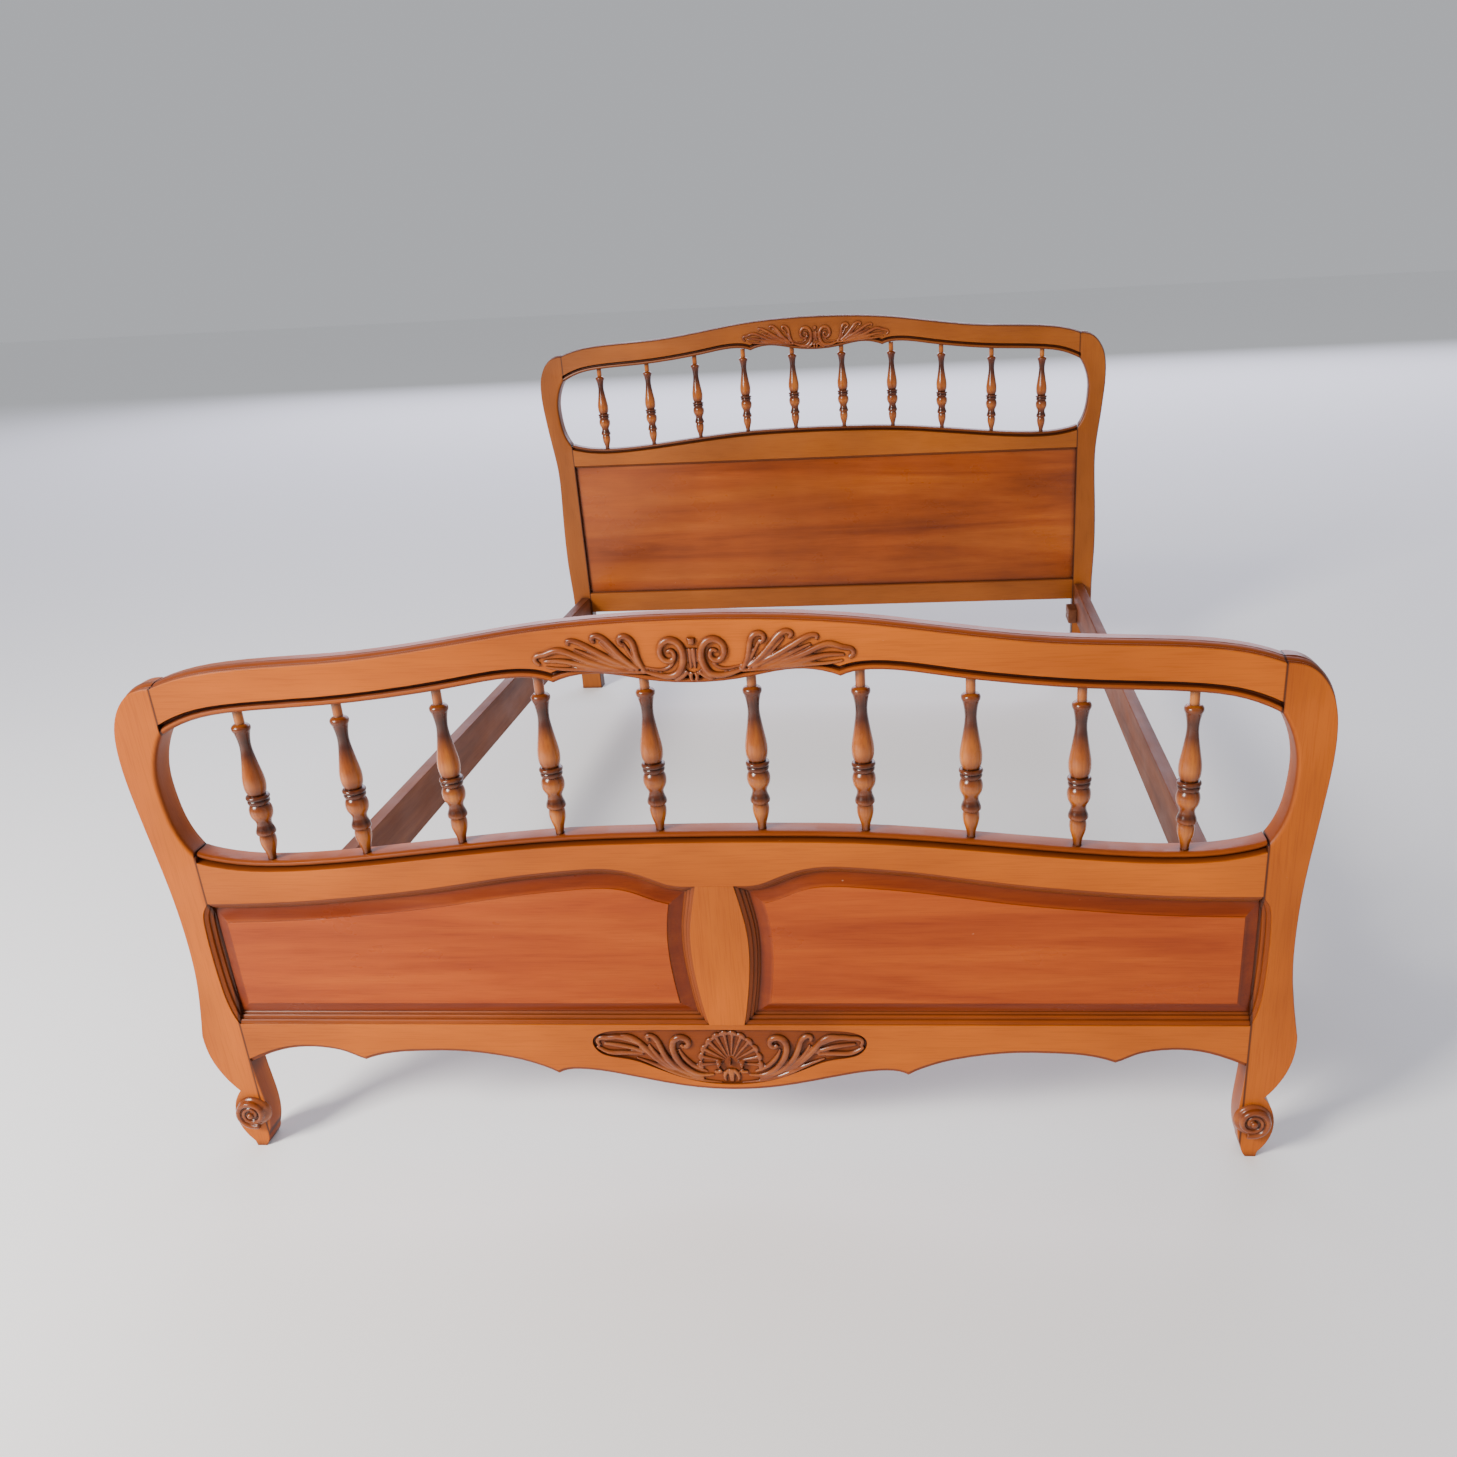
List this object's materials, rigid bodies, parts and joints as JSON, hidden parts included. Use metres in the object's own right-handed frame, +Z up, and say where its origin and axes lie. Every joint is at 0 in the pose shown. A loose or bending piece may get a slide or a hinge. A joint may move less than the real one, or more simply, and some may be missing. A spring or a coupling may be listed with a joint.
{
  "type": "sleigh bed",
  "caption": "Sleigh-style bed frame: arched, carved headboard and footboard with turned-spindle galleries, raised panels and plain hook-on side rails.",
  "frame": {"origin": "on the floor, at the middle of the bed's length and width", "axes": "+X to the right seen from the foot, +Y from the footboard to the headboard, +Z up"},
  "size_m": [1.5586, 2.126, 1.04],
  "materials": {
    "foot_frame_wood": "cherry-stained hardwood, semi-gloss lacquer, darker glaze in the quirks",
    "head_frame_wood": "cherry-stained hardwood, semi-gloss lacquer",
    "raised_panel_wood": "figured veneer, redder than the frame, semi-gloss lacquer",
    "head_panel_wood": "plain boards with the grain along the panel, semi-gloss lacquer",
    "turned_wood": "turned, amber bellies shaded dark in the necks, gloss lacquer",
    "carved_wood": "carved, dark glaze in the recesses, gloss lacquer",
    "side_rail_wood": "plain plank, brown stain, satin lacquer",
    "slat_rest_wood": "plain block, brown stain, rubbed pale on its top edges",
    "zinc_plate": "zinc-plated sheet steel",
    "zinc_screw": "zinc-plated countersunk screws"
  },
  "bodies": {
    "root": {"catch_plate_screws": "zinc_screw", "foot_bottom_rail": "foot_frame_wood", "foot_catch_plate_left": "zinc_plate", "foot_catch_plate_right": "zinc_plate", "foot_centre_stile": "foot_frame_wood", "foot_hook_plate_left": "zinc_plate", "foot_hook_plate_right": "zinc_plate", "foot_middle_rail": "foot_frame_wood", "foot_panel_left": "raised_panel_wood", "foot_panel_right": "raised_panel_wood", "foot_post_left": "foot_frame_wood", "foot_post_right": "foot_frame_wood", "foot_rest_block_left": "slat_rest_wood", "foot_rest_block_right": "slat_rest_wood", "foot_spindle_01": "turned_wood", "foot_spindle_02": "turned_wood", "foot_spindle_03": "turned_wood", "foot_spindle_04": "turned_wood", "foot_spindle_05": "turned_wood", "foot_spindle_06": "turned_wood", "foot_spindle_07": "turned_wood", "foot_spindle_08": "turned_wood", "foot_spindle_09": "turned_wood", "foot_spindle_10": "turned_wood", "foot_top_rail": "foot_frame_wood", "foot_volute_left": "carved_wood", "foot_volute_right": "carved_wood", "head_bottom_rail": "head_frame_wood", "head_catch_plate_left": "zinc_plate", "head_catch_plate_right": "zinc_plate", "head_hook_plate_left": "zinc_plate", "head_hook_plate_right": "zinc_plate", "head_middle_rail": "head_frame_wood", "head_panel": "head_panel_wood", "head_post_left": "head_frame_wood", "head_post_right": "head_frame_wood", "head_rest_block_left": "slat_rest_wood", "head_rest_block_right": "slat_rest_wood", "head_spindle_01": "turned_wood", "head_spindle_02": "turned_wood", "head_spindle_03": "turned_wood", "head_spindle_04": "turned_wood", "head_spindle_05": "turned_wood", "head_spindle_06": "turned_wood", "head_spindle_07": "turned_wood", "head_spindle_08": "turned_wood", "head_spindle_09": "turned_wood", "head_spindle_10": "turned_wood", "head_top_rail": "head_frame_wood", "hook_plate_screws": "zinc_screw", "rest_block_screws": "zinc_screw", "side_rail_left": "side_rail_wood", "side_rail_right": "side_rail_wood"}
  },
  "joints": []
}
